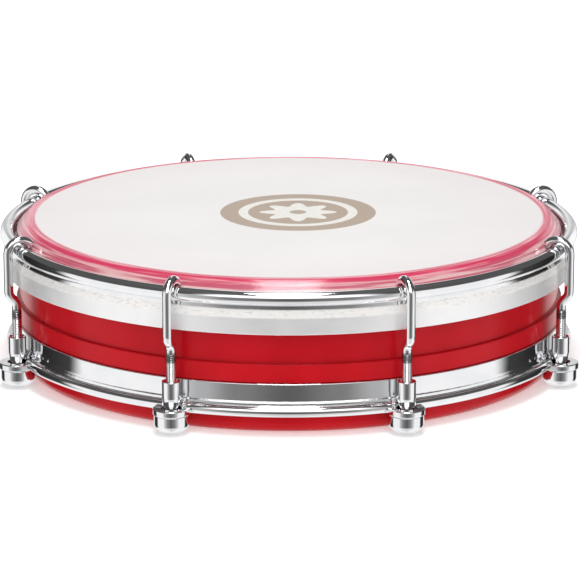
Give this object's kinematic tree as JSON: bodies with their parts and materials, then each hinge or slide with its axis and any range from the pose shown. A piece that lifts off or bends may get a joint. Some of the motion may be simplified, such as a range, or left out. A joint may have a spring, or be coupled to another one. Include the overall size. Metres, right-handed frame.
{
  "type": "small frame drum",
  "caption": "Shallow hand-held frame drum: red plastic shell, translucent head, chromed rim pulled down by hook rods and sleeve nuts on a lower ring.",
  "frame": {"origin": "centre of the plane of the shell's lower edge, on the drum's axis", "axes": "+Z along the drum's axis, from the open lower edge towards the head; -Y is the front, midway between two lugs"},
  "size_m": [0.168, 0.168, 0.0441],
  "materials": {
    "red_plastic": "glossy moulded ABS",
    "head_film": "milky translucent film, satin top",
    "flesh_metal": "mill finish",
    "rim_chrome": "polished bead, fine matt band",
    "ring_chrome": "polished",
    "hook_chrome": "polished, rolled thread at the lower end",
    "nut_chrome": "polished"
  },
  "bodies": {
    "drum": {"shell": "red_plastic", "tension_ring": "ring_chrome"},
    "rim": {"counterhoop": "rim_chrome", "flesh_hoop": "flesh_metal", "head_film": "head_film"},
    "hook_1": {"hook_1": "hook_chrome"},
    "hook_2": {"hook_2": "hook_chrome"},
    "hook_3": {"hook_3": "hook_chrome"},
    "hook_4": {"hook_4": "hook_chrome"},
    "hook_5": {"hook_5": "hook_chrome"},
    "hook_6": {"hook_6": "hook_chrome"},
    "hook_7": {"hook_7": "hook_chrome"},
    "hook_8": {"hook_8": "hook_chrome"},
    "nut_1": {"nut_1": "nut_chrome"},
    "nut_2": {"nut_2": "nut_chrome"},
    "nut_3": {"nut_3": "nut_chrome"},
    "nut_4": {"nut_4": "nut_chrome"},
    "nut_5": {"nut_5": "nut_chrome"},
    "nut_6": {"nut_6": "nut_chrome"},
    "nut_7": {"nut_7": "nut_chrome"},
    "nut_8": {"nut_8": "nut_chrome"}
  },
  "joints": [
    {"name": "rim_lift", "type": "slide", "parent": "drum", "child": "rim", "axis": [0, 0, 1], "range_m": [0, 0.0025]},
    {"name": "nut_1_turn", "type": "hinge", "parent": "drum", "child": "nut_1", "pos_m": [0.03207, -0.07742, 0.01], "axis": [0, 0, -1], "range_deg": [0, 1800]},
    {"name": "nut_2_turn", "type": "hinge", "parent": "drum", "child": "nut_2", "pos_m": [0.07742, -0.03207, 0.01], "axis": [0, 0, -1], "range_deg": [0, 1800]},
    {"name": "nut_3_turn", "type": "hinge", "parent": "drum", "child": "nut_3", "pos_m": [0.07742, 0.03207, 0.01], "axis": [0, 0, -1], "range_deg": [0, 1800]},
    {"name": "nut_4_turn", "type": "hinge", "parent": "drum", "child": "nut_4", "pos_m": [0.03207, 0.07742, 0.01], "axis": [0, 0, -1], "range_deg": [0, 1800]},
    {"name": "nut_5_turn", "type": "hinge", "parent": "drum", "child": "nut_5", "pos_m": [-0.03207, 0.07742, 0.01], "axis": [0, 0, -1], "range_deg": [0, 1800]},
    {"name": "nut_6_turn", "type": "hinge", "parent": "drum", "child": "nut_6", "pos_m": [-0.07742, 0.03207, 0.01], "axis": [0, 0, -1], "range_deg": [0, 1800]},
    {"name": "nut_7_turn", "type": "hinge", "parent": "drum", "child": "nut_7", "pos_m": [-0.07742, -0.03207, 0.01], "axis": [0, 0, -1], "range_deg": [0, 1800]},
    {"name": "nut_8_turn", "type": "hinge", "parent": "drum", "child": "nut_8", "pos_m": [-0.03207, -0.07742, 0.01], "axis": [0, 0, -1], "range_deg": [0, 1800]},
    {"name": "hook_1_lift", "type": "slide", "parent": "rim", "child": "hook_1", "axis": [0, 0, 1], "range_m": [0, 0.0025]},
    {"name": "hook_2_lift", "type": "slide", "parent": "rim", "child": "hook_2", "axis": [0, 0, 1], "range_m": [0, 0.0025]},
    {"name": "hook_3_lift", "type": "slide", "parent": "rim", "child": "hook_3", "axis": [0, 0, 1], "range_m": [0, 0.0025]},
    {"name": "hook_4_lift", "type": "slide", "parent": "rim", "child": "hook_4", "axis": [0, 0, 1], "range_m": [0, 0.0025]},
    {"name": "hook_5_lift", "type": "slide", "parent": "rim", "child": "hook_5", "axis": [0, 0, 1], "range_m": [0, 0.0025]},
    {"name": "hook_6_lift", "type": "slide", "parent": "rim", "child": "hook_6", "axis": [0, 0, 1], "range_m": [0, 0.0025]},
    {"name": "hook_7_lift", "type": "slide", "parent": "rim", "child": "hook_7", "axis": [0, 0, 1], "range_m": [0, 0.0025]},
    {"name": "hook_8_lift", "type": "slide", "parent": "rim", "child": "hook_8", "axis": [0, 0, 1], "range_m": [0, 0.0025]}
  ],
  "couplings": [
    {"joint": "nut_1_turn", "follows": "hook_1_lift", "rad_per_m": 12566},
    {"joint": "nut_2_turn", "follows": "hook_2_lift", "rad_per_m": 12566},
    {"joint": "nut_3_turn", "follows": "hook_3_lift", "rad_per_m": 12566},
    {"joint": "nut_4_turn", "follows": "hook_4_lift", "rad_per_m": 12566},
    {"joint": "nut_5_turn", "follows": "hook_5_lift", "rad_per_m": 12566},
    {"joint": "nut_6_turn", "follows": "hook_6_lift", "rad_per_m": 12566},
    {"joint": "nut_7_turn", "follows": "hook_7_lift", "rad_per_m": 12566},
    {"joint": "nut_8_turn", "follows": "hook_8_lift", "rad_per_m": 12566}
  ]
}
